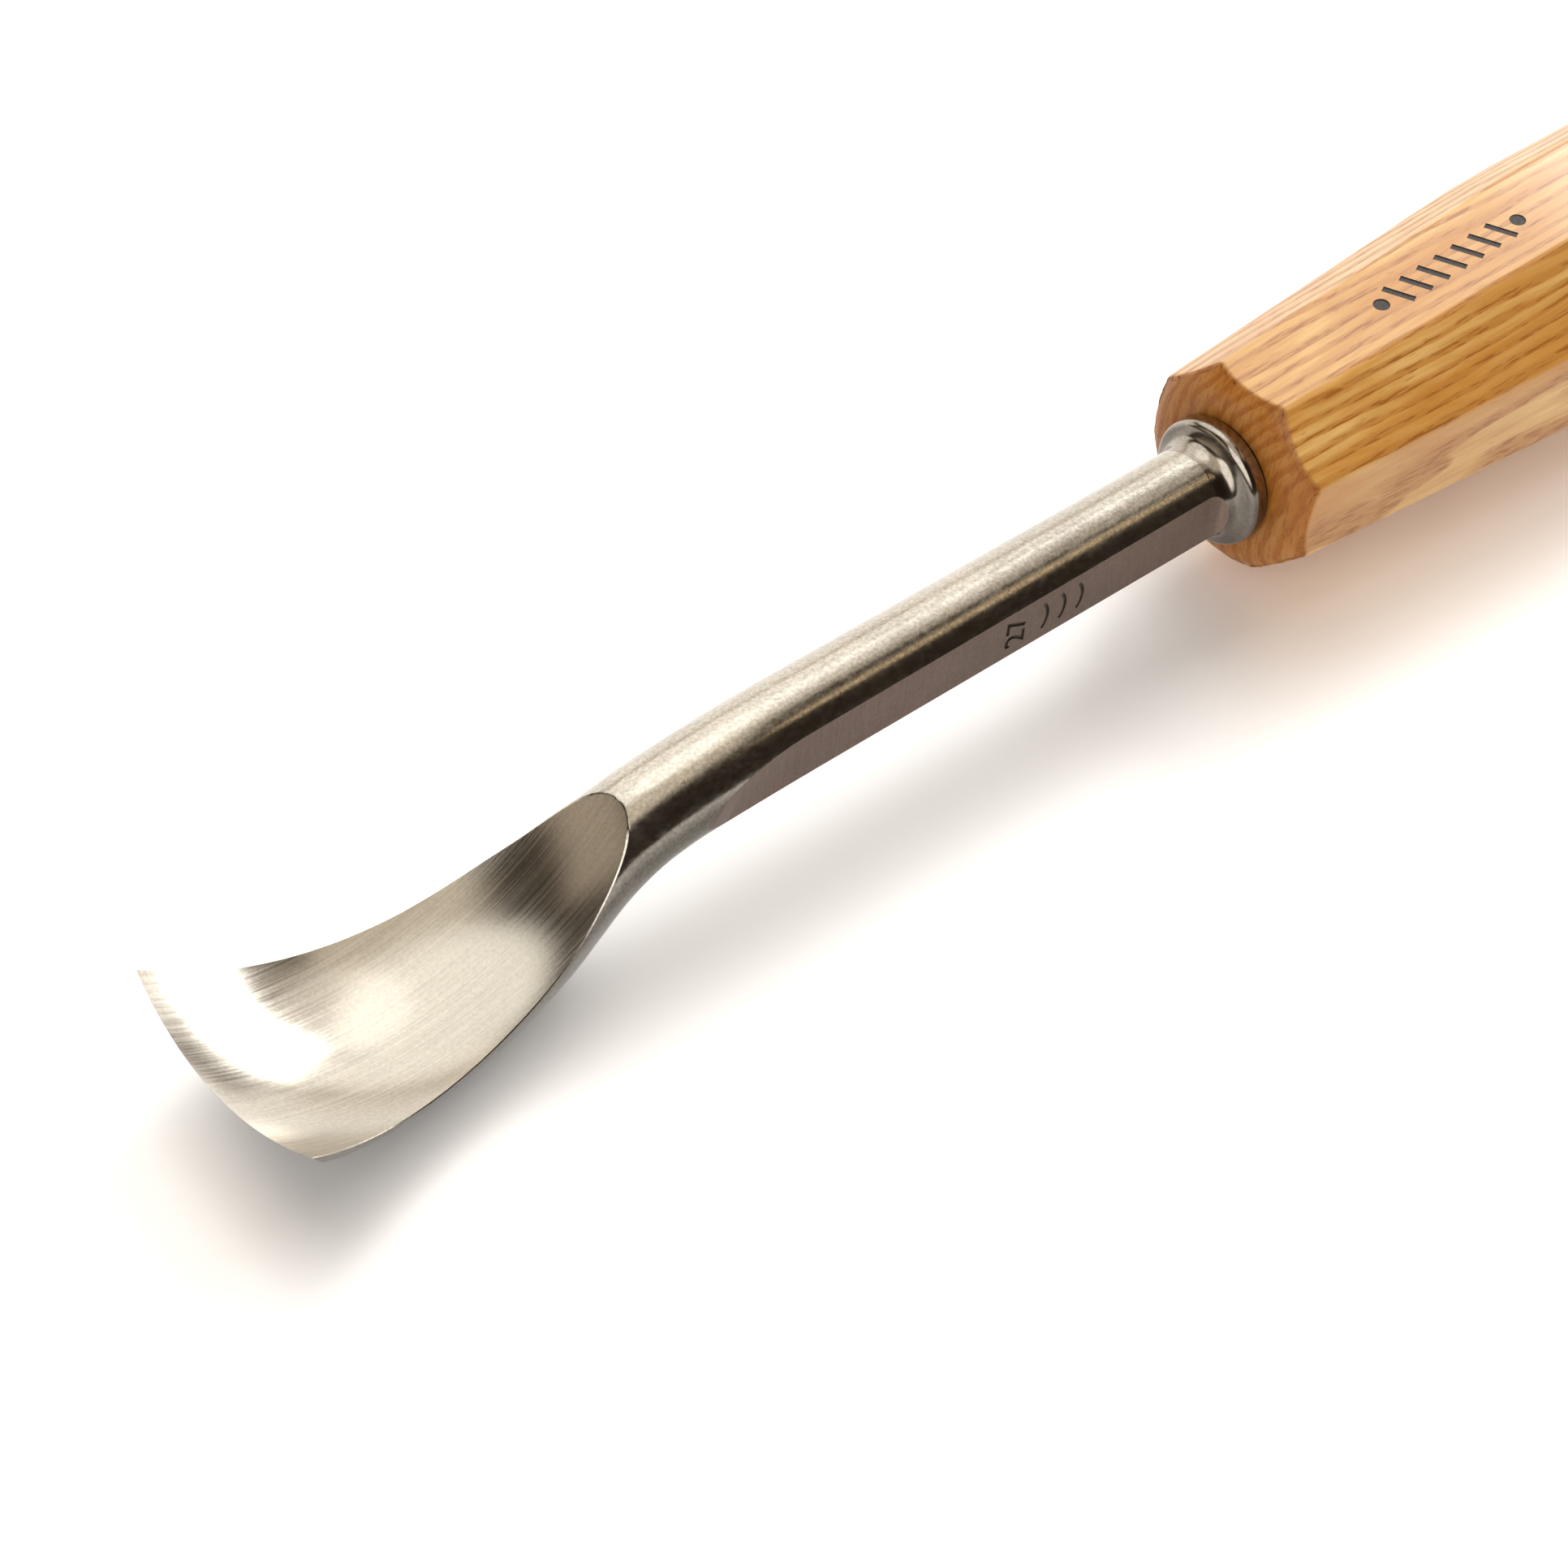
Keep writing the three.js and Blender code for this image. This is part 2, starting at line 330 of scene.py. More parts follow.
def smooth_step(tree, value, low, high, low_value=0.0, high_value=1.0):
    """low_value up to low, high_value from high on, and a smooth change between."""
    node = add_node(
        tree,
        "ShaderNodeMapRange",
        {"Value": value, "From Min": low, "From Max": high, "To Min": low_value, "To Max": high_value},
        interpolation_type="SMOOTHSTEP",
    )
    return node.outputs["Result"]


def maths(tree, operation, first, second=0.0):
    return add_node(tree, "ShaderNodeMath", {0: first, 1: second}, operation=operation).outputs["Value"]


def card_mask(tree, azimuth, elevation, centre, half, height, half_height, edge):
    """1 inside a card that hangs at an azimuth and elevation in degrees, 0 outside, with a soft edge."""
    sideways = maths(tree, "ABSOLUTE", maths(tree, "SUBTRACT", azimuth, centre))
    upright = maths(tree, "ABSOLUTE", maths(tree, "SUBTRACT", elevation, height))
    across = smooth_step(tree, sideways, half + edge, half - edge)
    tall = smooth_step(tree, upright, half_height + edge, half_height - edge)
    return maths(tree, "MULTIPLY", across, tall)


# ---- Surroundings, lamp and floor ----------------------------------------

STUDIO_DARK = (0.075, 0.055, 0.04)
SOFTBOX_AXIS = (0.102, 0.579, 0.809)
SOFTBOX_LIGHT = (1.5, 1.44, 1.32)
SOFTBOX_OUTER_ANGLE = 32
SOFTBOX_INNER_ANGLE = 23
# Each card: azimuth, half width, elevation, half height and soft edge in degrees, then its light.
# The softbox hangs in front of the first group, and the second group in front of the softbox.
CARDS_BEHIND = (
    (-40, 45, 25, 40, 8, (0.03, 0.022, 0.015)),
    (140, 35, 48, 13, 5, (0.06, 0.045, 0.03)),
    (150, 22, 24, 12, 6, (0.55, 0.46, 0.36)),
    (-143, 40, 42, 27, 8, (2.0, 1.92, 1.8)),
    (55, 62, 3, 15, 7, (1.35, 1.28, 1.18)),
    (12, 22, 55, 9, 5, (0.5, 0.43, 0.35)),
    (0, 190, 86, 23, 8, (0.9, 0.8, 0.65)),
)
CARDS_IN_FRONT = (
    (62, 20, 22, 12, 8, (1.15, 1.05, 0.92)),
    (-7, 13, 17, 8, 5, (1.45, 1.38, 1.28)),
    (12.5, 26, 32, 10.5, 4, (6.0, 5.9, 5.75)),
    (24, 10, 12, 5, 4, (0.3, 0.26, 0.22)),
    (-21, 10, 57, 7, 3, (0.06, 0.045, 0.03)),
    (58, 22, 31, 7, 4, (1.5, 1.44, 1.32)),
    (62, 28, 19.5, 2, 1.5, (0.75, 0.65, 0.52)),
    (-33, 14, 49.5, 3, 1.5, (0.9, 0.68, 0.42)),
)


def hang_cards(tree, colour, azimuth, elevation, cards):
    for centre, half, height, half_height, edge, light in cards:
        mask = card_mask(tree, azimuth, elevation, centre, half, height, half_height, edge)
        colour = paint(tree, colour, mask, light)
    return colour


def make_world():
    """Studio surroundings painted by direction: one big softbox, a small hot one, cards and dark gaps."""
    world = bpy.data.worlds.new("studio")
    bpy.context.scene.world = world
    tree = node_tree(world)
    where = add_node(tree, "ShaderNodeTexCoord").outputs["Generated"]
    axes = add_node(tree, "ShaderNodeSeparateXYZ", {"Vector": where}).outputs
    azimuth = maths(tree, "DEGREES", maths(tree, "ARCTAN2", axes["Y"], axes["X"]))
    elevation = maths(tree, "DEGREES", maths(tree, "ARCSINE", axes["Z"]))
    toward = add_node(tree, "ShaderNodeVectorMath", {0: where, 1: SOFTBOX_AXIS}, operation="DOT_PRODUCT")
    softbox = smooth_step(
        tree,
        toward.outputs["Value"],
        math.cos(math.radians(SOFTBOX_OUTER_ANGLE)),
        math.cos(math.radians(SOFTBOX_INNER_ANGLE)),
    )
    colour = hang_cards(tree, STUDIO_DARK, azimuth, elevation, CARDS_BEHIND)
    colour = paint(tree, colour, softbox, SOFTBOX_LIGHT)
    colour = hang_cards(tree, colour, azimuth, elevation, CARDS_IN_FRONT)
    light = add_node(tree, "ShaderNodeBackground", {"Color": colour, "Strength": 1.0})
    out = add_node(tree, "ShaderNodeOutputWorld")
    tree.links.new(light.outputs["Background"], out.inputs["Surface"])


LAMP_PLACE = (120, 160, 420)
LAMP_AIM = (-40, 0, 0)
# The lamp's and the floor's size are in metres.
LAMP_SIZE = 0.3
LAMP_WATTS = 0.12
LAMP_COLOUR = (1.0, 0.97, 0.93)


def make_lights():
    """A weak lamp over the bench; the softboxes are part of the surroundings."""
    data = bpy.data.lights.new("bench_lamp", "AREA")
    data.shape = "DISK"
    data.size = LAMP_SIZE
    data.energy = LAMP_WATTS
    data.color = LAMP_COLOUR
    lamp = bpy.data.objects.new("bench_lamp", data)
    bpy.context.scene.collection.objects.link(lamp)
    here = place(*LAMP_PLACE)
    turn = (here - place(*LAMP_AIM)).to_track_quat("Z", "Y").to_matrix().to_4x4()
    lamp.matrix_world = Matrix.Translation(here) @ turn


FLOOR_SIZE = 6
FLOOR_COLOUR = (0.93, 0.93, 0.95, 1)
FLOOR_SHEEN = 0.55
# Painted light: the floor glows, which makes the shadows cast on it lighter.
FLOOR_PAINTED_GLOW_COLOUR = (1.0, 0.985, 0.97, 1)
FLOOR_PAINTED_GLOW = 0.11


def make_floor():
    """Satin white paper that glows a little, though it is no lamp: painted light that lifts the shadows on
    it.
    """
    clear_selection()
    bpy.ops.mesh.primitive_grid_add(x_subdivisions=8, y_subdivisions=8, size=FLOOR_SIZE)
    floor = bpy.context.object
    floor.name = "floor"
    material = bpy.data.materials.new("white_paper")
    tree = node_tree(material)
    where = add_node(tree, "ShaderNodeTexCoord").outputs["Object"]
    fibres = add_node(tree, "ShaderNodeTexNoise", {"Vector": where, "Scale": 900.0, "Detail": 2.0})
    rough = smooth_step(tree, fibres.outputs["Fac"], 0.0, 1.0, 0.5, 0.56)
    shader = add_node(
        tree,
        "ShaderNodeBsdfPrincipled",
        {
            "Base Color": FLOOR_COLOUR,
            "Metallic": FLOOR_SHEEN,
            "Roughness": rough,
            "Emission Color": FLOOR_PAINTED_GLOW_COLOUR,
            "Emission Strength": FLOOR_PAINTED_GLOW,
        },
    )
    finish_material(tree, shader)
    floor.data.materials.append(material)


# ---- The blade's bar and hollow ------------------------------------------


def forged_section(reach):
    """Half width, middle, depth and rise of the bar at a reach, on a smooth line through the stations."""
    last = len(FORGED_STATIONS) - 1

    def lean(i, column):
        before = FORGED_STATIONS[max(i - 1, 0)]
        after = FORGED_STATIONS[min(i + 1, last)]
        return (after[column] - before[column]) / (after[0] - before[0])

    i = 0
    while i < last - 1 and reach > FORGED_STATIONS[i + 1][0]:
        i += 1
    start, end = FORGED_STATIONS[i], FORGED_STATIONS[i + 1]
    span = end[0] - start[0]
    t = (reach - start[0]) / span
    sizes = []
    for column in range(1, 5):
        value = (1 + 2 * t) * (1 - t) ** 2 * start[column] + t * t * (3 - 2 * t) * end[column]
        value += t * (1 - t) ** 2 * span * lean(i, column)
        value += t * t * (t - 1) * span * lean(i + 1, column)
        sizes.append(value)
    return sizes


def outside_point(reach, angle, shrink=0.0):
    """Across and up on the bar's outside. angle is 0 at the bottom and pi at the top."""
    half, middle, depth, rise = forged_section(reach)
    height = depth if math.cos(angle) > 0 else rise
    across = (half - shrink) * math.sin(angle)
    up = middle - (height - shrink) * math.cos(angle)
    return across, up


def wheel_depth(wheel, reach, across, up, ease=0.0):
    """How far outside a wheel's face a point is, below 0 inside it."""
    axle_reach, axle_up, lengthwise, sweep = wheel
    from_axle = math.hypot(reach - axle_reach, up - axle_up)
    return math.hypot(from_axle - (lengthwise - sweep), across) - (sweep + ease)


def hollow_height(reach, across):
    axle_reach, axle_up, lengthwise, sweep = HOLLOW_WHEEL
    radius = lengthwise - sweep + math.sqrt(sweep**2 - across**2)
    return axle_up - math.sqrt(radius**2 - (reach - axle_reach) ** 2)


def bisection(measure, low, high):
    """Where measure changes sign between low and high."""
    start = measure(low) > 0
    for _ in range(40):
        middle = (low + high) / 2
        if (measure(middle) > 0) == start:
            low = middle
        else:
            high = middle
    return (low + high) / 2


def outside_rim_angle(reach):
    def measure(angle):
        across, up = outside_point(reach, angle)
        return wheel_depth(HOLLOW_WHEEL, reach, across, up, RIM_EASE)

    return bisection(measure, 0.3, math.pi)


def hollow_half_width(reach):
    def measure(across):
        half, middle, depth, rise = forged_section(reach)
        up = hollow_height(reach, across) - middle
        height = depth if up < 0 else rise
        return (across / (half - RIM_EASE)) ** 2 + (up / (height - RIM_EASE)) ** 2 - 1

    return bisection(measure, 0.0, forged_section(reach)[0])


def hollow_top_gap(ease, shrink):
    """Reach at which the hollow first breaks the top of the bar."""

    def measure(reach):
        across, up = outside_point(reach, math.pi, shrink)
        return wheel_depth(HOLLOW_WHEEL, reach, across, up, ease)

    return bisection(measure, 70, 90)


def stations_after(apex, tip):
    """Reaches that are crowded at the rounded end of the hollow and even further on."""
    reaches = []
    step = 1
    reach = apex
    while reach < tip - STATION_STEP / 2:
        reaches.append(reach)
        reach = min(apex + 0.03 * step**2, reaches[-1] + STATION_STEP)
        step += 1
    return reaches + [tip]


def sheet_rows(rows, first_index):
    """Faces between rows of points that all have the same count."""
    faces = []
    count = len(rows[0])
    for r in range(len(rows) - 1):
        for c in range(count - 1):
            a = first_index + r * count + c
            faces.append((a, a + 1, a + count + 1, a + count))
    return faces


def forged_bar(steels):
    """The bar with its hollow and a narrow eased rim between the outside and the hollow."""
    tip = FORGED_STATIONS[-1][0]
    outside_apex = hollow_top_gap(RIM_EASE, 0.0)
    hollow_apex = hollow_top_gap(0.0, RIM_EASE)
    before = [FORGED_STATIONS[0][0], 20, 40, 54]
    while before[-1] < outside_apex - STATION_STEP:
        before.append(before[-1] + STATION_STEP)
    rows = []
    for reach in before + stations_after(outside_apex, tip):
        limit = math.pi if reach <= outside_apex else outside_rim_angle(reach)
        row = []
        for i in range(OUTSIDE_STEPS + 1):
            share = 2 * i / OUTSIDE_STEPS - 1
            across, up = outside_point(reach, abs(share) * limit)
            row.append(place(-reach, math.copysign(across, share), up))
        rows.append(row)
    points = [p for row in rows for p in row]
    faces = sheet_rows(rows, 0)
    outside_count = len(points)
    hollow_rows = []
    for reach in stations_after(hollow_apex, tip):
        half = 0.0 if reach == hollow_apex else hollow_half_width(reach)
        row = []
        for i in range(HOLLOW_STEPS + 1):
            across = half * math.sin((2 * i / HOLLOW_STEPS - 1) * math.pi / 2)
            row.append(place(-reach, across, hollow_height(reach, across)))
        hollow_rows.append(row)
    outside_faces = len(faces)
    points += [p for row in hollow_rows for p in row]
    faces += sheet_rows(hollow_rows, outside_count)
    bar = mesh_piece("gouge_blade", points, faces)
    for finish in ("bar", "hollow"):
        bar.data.materials.append(steels[finish])
    for face in bar.data.polygons:
        face.material_index = 1 if face.index >= outside_faces else 0
    take(bar)
    bpy.ops.object.mode_set(mode="EDIT")
    bpy.ops.mesh.select_all(action="SELECT")
    bpy.ops.mesh.remove_doubles(threshold=0.0005 * MM)
    bpy.ops.object.mode_set(mode="OBJECT")
    close_bar(bar, tip)
    return bar


def close_bar(bar, tip):
    """Bridges the two sheets along the rim, then closes the tip and the rear end."""
    ends = [place(-reach, 0, 0).x for reach in (tip, FORGED_STATIONS[0][0])]

    def is_at(values, x):
        return all(abs(value - x) < 0.01 * MM for value in values)

    take(bar)
    bpy.ops.object.mode_set(mode="EDIT")
    bpy.ops.mesh.select_mode(type="EDGE")
    choose_open_edges(bar, lambda values: not any(is_at(values, x) for x in ends))
    bpy.ops.mesh.bridge_edge_loops()
    for x in ends:
        choose_open_edges(bar, lambda values: is_at(values, x))
        bpy.ops.mesh.edge_face_add()
    bpy.ops.object.mode_set(mode="OBJECT")
    tidy_mesh(bar, 0.0005)


def choose_open_edges(bar, wanted):
    """Selects the open edges that wanted accepts by the x of their two ends."""
    bpy.ops.mesh.select_all(action="DESELECT")
    mesh = bmesh.from_edit_mesh(bar.data)
    for edge in mesh.edges:
        edge.select = edge.is_boundary and wanted([v.co.x for v in edge.verts])
    mesh.select_flush(True)
    bmesh.update_edit_mesh(bar.data)


def barrel(wheel, name):
    axle_reach, axle_up, lengthwise, sweep = wheel
    profile = [(-WHEEL_HALF_WIDTH, 0)]
    steps = 40
    for i in range(steps + 1):
        across = WHEEL_HALF_WIDTH * (2 * i / steps - 1)
        profile.append((across, lengthwise - sweep + math.sqrt(sweep**2 - across**2)))
    profile.append((WHEEL_HALF_WIDTH, 0))
    return turned(name, profile, place(-axle_reach, 0, axle_up), (0, 1, 0), 360)


def bevel_waste():
    """Everything below and in front of the outside bevel."""
    length, width, height = 40, 60, 60
    middle = place(-BEVEL_FIRST_REACH - length / 2, 0, -height / 4)
    clear_selection()
    bpy.ops.mesh.primitive_cube_add(size=1, location=middle, scale=(length * MM, width * MM, height * MM))
    block = bpy.context.object
    bpy.ops.object.transform_apply(location=True, rotation=True, scale=True)
    combine(block, barrel(BEVEL_WHEEL, "bevel_wheel"), "DIFFERENCE")
    return block


def bolster():
    """The collar that bears on the handle: a rounded lip and a fillet down to the shank."""
    lip = BOLSTER_BACK - 1.75
    profile = [(-6.2, 0), (-6.2, SHANK_RADIUS - 0.3), (-5.4, SHANK_RADIUS)]
    fillet_start = (-5.2, SHANK_RADIUS + 0.01)
    profile += arc_points(fillet_start, (-2.95, BOLSTER_RADIUS - 1.05), (-3.35, SHANK_RADIUS), 10)
    lip_start = (-2.75, BOLSTER_RADIUS - 0.75)
    profile += arc_points(lip_start, (lip + 0.2, BOLSTER_RADIUS), (-2.5, BOLSTER_RADIUS), 8)
    profile += [(-0.75, BOLSTER_RADIUS), (-0.45, BOLSTER_RADIUS - 0.12)]
    profile += [(BOLSTER_BACK, BOLSTER_RADIUS - 0.35), (BOLSTER_BACK, 0)]
    return turned("bolster", profile, place(0, 0, 0), (1, 0, 0), 144)


def square_taper(name, front, rear, front_half, rear_half):
    rings = []
    for x, half in ((front, front_half), (rear, rear_half)):
        rings.append([place(x, sy * half, sz * half) for sy, sz in ((-1, -1), (1, -1), (1, 1), (-1, 1))])
    return ring_solid(name, rings)


def flat_waste(side):
    """What the grinder takes off one side of the shank, running out at both ends."""
    outline = [(-4.6, 12)]
    outline += arc_points((-3.9, FLAT_HALF_REAR + 2.2), (-6.4, FLAT_HALF_REAR), (-4.1, FLAT_HALF_REAR), 14)
    outline += arc_points((-67, FLAT_HALF_FRONT), (-93, FLAT_HALF_FRONT + 6), (-83, FLAT_HALF_FRONT), 28)
    outline += [(-93, 12)]
    low, high = -9, 7
    run_out_slant = 0.62
    rings = []
    for level in (low, high):
        shift = run_out_slant * (level - low)
        rings.append([place(x + (shift if x < -60 else 0), side * across, level) for x, across in outline])
    return ring_solid("flat_waste", rings)


# ---- Stamped signs --------------------------------------------------------


def lettering(text, size, depth, centre, along, up, outward):
    """A raised number as a closed mesh, standing on the plane through centre that faces outward."""
    data = bpy.data.curves.new("number", "FONT")
    data.body = text
    data.size = size * MM
    data.extrude = depth * MM
    data.offset = 0.05 * MM
    data.align_x = "CENTER"
    data.align_y = "CENTER"
    data.resolution_u = 6
    piece = bpy.data.objects.new("number", data)
    bpy.context.scene.collection.objects.link(piece)
    take(piece)
    bpy.ops.object.convert(target="MESH")
    piece = bpy.context.object
    turn = Matrix((along, up, outward)).transposed().to_4x4()
    piece.data.transform(Matrix.Translation(centre) @ turn)
    tidy_mesh(piece)
    return piece


def sign_arc(centre, along, up, outward, depth):
    """A curved bar, as a closed mesh, like the sweep that the edge cuts."""
    steps = 20
    points = []
    for level in (-depth, depth):
        for r in (ARC_RADIUS - ARC_WIDTH / 2, ARC_RADIUS + ARC_WIDTH / 2):
            for i in range(steps + 1):
                angle = ARC_HALF_ANGLE * (2 * i / steps - 1)
                flat = along * (r * math.sin(angle)) + up * (ARC_RADIUS - r * math.cos(angle))
                points.append(centre + (flat + outward * level) * MM)
    row = steps + 1
    faces = []
    for i in range(steps):
        for base, flip in ((0, False), (2 * row, True)):
            quad = (base + i, base + i + 1, base + row + i + 1, base + row + i)
            faces.append(quad[::-1] if flip else quad)
        for inner in (0, row):
            quad = (inner + i, inner + i + 1, inner + 2 * row + i + 1, inner + 2 * row + i)
            faces.append(quad)
    for i in (0, steps):
        faces.append((i, row + i, 3 * row + i, 2 * row + i))
    piece = mesh_piece("sign_arc", points, faces)
    tidy_mesh(piece)
    return piece


def stamp_flat(blade, material):
    """Sinks two generic signs into the near flat: the edge's width in mm, and three swept arcs."""
    outward = Vector((0, -1, 0))
    along = Vector((0, 0, 1))
    up = Vector((-1, 0, 0))
    half = FLAT_HALF_REAR + 0.08
    number = lettering("27", NUMBER_SIZE, SIGN_DEPTH, place(NUMBER_X, -half, 0), along, up, outward)
    combine(blade, dressed(number, material), "DIFFERENCE")
    for x in ARC_XS:
        arc = sign_arc(place(x, -half, 0), along, up, outward, SIGN_DEPTH)
        combine(blade, dressed(arc, material), "DIFFERENCE")


def dressed(piece, material):
    piece.data.materials.clear()
    piece.data.materials.append(material)
    return piece


def make_blade(steels):
    blade = forged_bar(steels)
    combine(blade, dressed(bolster(), steels["collar"]), "UNION")
    for side in (1, -1):
        combine(blade, dressed(flat_waste(side), steels["flat"]), "DIFFERENCE")
    combine(blade, dressed(bevel_waste(), steels["bevel"]), "DIFFERENCE")
    tang = square_taper("tang", -1, TANG_LENGTH, TANG_FRONT_HALF, TANG_TIP_HALF)
    combine(blade, dressed(tang, steels["tang"]), "UNION")
    stamp_flat(blade, steels["mark"])
    keep_inside(blade, "blade")
    smooth(blade, 24)
    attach(blade, "root")
    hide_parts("blade")
    return blade


# ---- Handle ---------------------------------------------------------------


def handle_octagon():
    """Eight flats that swell from the front and taper to the butt, longer than the handle at both ends."""
    stations = (
        (-OVERLENGTH, HANDLE_FRONT_FLATS - FRONT_WIDENING * OVERLENGTH),
        (HANDLE_SWELL_END - 8, HANDLE_FULL_FLATS - 1.06),
        (HANDLE_SWELL_END - 1, HANDLE_FULL_FLATS - 0.25),
        (HANDLE_SWELL_END + 6, HANDLE_FULL_FLATS),
        (HANDLE_TAPER_START, HANDLE_FULL_FLATS),
        (HANDLE_LENGTH + OVERLENGTH, HANDLE_REAR_FLATS - REAR_NARROWING * OVERLENGTH),
    )
    rings = []
    for x, flats in stations:
        corner = flats / 2 / math.cos(math.pi / HANDLE_SIDES)
        angles = [(2 * i + 1) * math.pi / HANDLE_SIDES for i in range(HANDLE_SIDES)]
        rings.append([place(x, corner * math.sin(angle), corner * math.cos(angle)) for angle in angles])
    return ring_solid("gouge_handle", rings)


def handle_envelope():
    """The round shape that both ends of the handle are turned to."""
    front = HANDLE_FRONT_FLATS / 2
    rear = HANDLE_REAR_FLATS / 2
    end = HANDLE_LENGTH
    profile = [(0, 0), (0, front - 3.2)]
    profile += arc_points((0.05, front - 2.6), (3.4, front + 1.7), (0.35, front + 0.1), 12)
    profile += [(6, front + 4), (9, front + 8), (end - 12, front + 8), (end - 9, rear + 4.2)]
    profile += arc_points((end - 6.5, rear + 1.8), (end, rear - 5.8), (end - 1.0, rear + 0.2), 18)
    profile += [(end, 0)]
    return turned("envelope", profile, place(0, 0, 0), (1, 0, 0), 144, 0.9)


def facet_height(x):
    """Height of the top flat above the axis where the handle swells."""
    return (HANDLE_FRONT_FLATS + (HANDLE_FULL_FLATS - HANDLE_FRONT_FLATS) * x / HANDLE_SWELL_END) / 2


def burn_band(handle, stain):
    """A plain pattern burnt into the top flat: slanted bars between two dots."""
    height = 2 * PATTERN_DEPTH * MM
    length, width = (value * MM for value in PATTERN_BAR)
    lean = math.atan((HANDLE_FULL_FLATS - HANDLE_FRONT_FLATS) / 2 / HANDLE_SWELL_END)
    turn = Matrix.Rotation(-lean, 4, "Y") @ Matrix.Rotation(math.radians(PATTERN_SLANT), 4, "Z")
    for i in range(PATTERN_COUNT):
        x = PATTERN_START + PATTERN_STEP * i
        clear_selection()
        if i in (0, PATTERN_COUNT - 1):
            bpy.ops.mesh.primitive_cylinder_add(
                vertices=32, radius=PATTERN_DOT_RADIUS * MM, depth=height
            )
        else:
            bpy.ops.mesh.primitive_cube_add(size=1, scale=(length, width, height))
            bpy.ops.object.transform_apply(location=False, rotation=False, scale=True)
        tool = bpy.context.object
        tool.data.transform(Matrix.Translation(place(x, 0, facet_height(x))) @ turn)
        combine(handle, dressed(tool, stain), "DIFFERENCE")


def make_handle(wood, stain):
    handle = dressed(handle_octagon(), wood)
    combine(handle, dressed(handle_envelope(), wood), "INTERSECT")
    tidy_mesh(handle, 0.01)
    apply_modifier(
        handle,
        "BEVEL",
        width=HANDLE_EDGE_ROUNDING * MM,
        segments=4,
        limit_method="ANGLE",
        angle_limit=math.radians(17),
        use_clamp_overlap=False,
    )
    seat_end = FERRULE_LENGTH + 2 * CLEARANCE
    seat_radius = FERRULE_OUTER_RADIUS + CLEARANCE
    seat = turned(
        "seat", [(-1, 0), (-1, seat_radius), (seat_end, seat_radius), (seat_end, 0)],
        place(0, 0, 0), (1, 0, 0), 96, 1.3,
    )
    hole = square_taper("hole", 5, TANG_LENGTH + 2, TANG_FRONT_HALF + CLEARANCE, TANG_TIP_HALF + CLEARANCE)
    combine(seat, hole, "UNION")
    combine(handle, dressed(seat, wood), "DIFFERENCE")
    burn_band(handle, stain)
    smooth(handle, 30)
    apply_modifier(handle, "WEIGHTED_NORMAL", weight=60, keep_sharp=True)
    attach(handle, "root")
    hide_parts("handle")
    return handle


def make_ferrule(material):
    """The hidden ring, with its edges eased."""
    front, rear = CLEARANCE, CLEARANCE + FERRULE_LENGTH
    inner, outer = FERRULE_INNER_RADIUS, FERRULE_OUTER_RADIUS
    profile = [(front, inner), (front, outer), (rear, outer), (rear, inner), (front, inner)]
    ring = turned("tang_ferrule", profile, place(0, 0, 0), (1, 0, 0), 96)
    apply_modifier(ring, "BEVEL", width=0.2 * MM, segments=2, limit_method="ANGLE")
    dressed(ring, material)
    smooth(ring, 40)
    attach(ring, "root")
    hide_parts("ferrule")
    return ring


# ---- Materials ------------------------------------------------------------


def stretched_noise(tree, where, scales, detail=3.0, roughness=0.55, distortion=0.0):
    """Noise whose grain is 1 / scales metres along x, y and z."""
    mapping = add_node(tree, "ShaderNodeMapping", {"Vector": where, "Scale": scales})
    noise = add_node(
        tree,
        "ShaderNodeTexNoise",
        {
            "Vector": mapping.outputs["Vector"],
            "Scale": 1.0,
            "Detail": detail,
            "Roughness": roughness,
            "Distortion": distortion,
        },
    )
    return noise.outputs["Fac"]


def bumped(tree, height, strength, distance, under=None):
    inputs = {"Height": height, "Strength": strength, "Distance": distance * MM}
    if under is not None:
        inputs["Normal"] = under
    return add_node(tree, "ShaderNodeBump", inputs).outputs["Normal"]


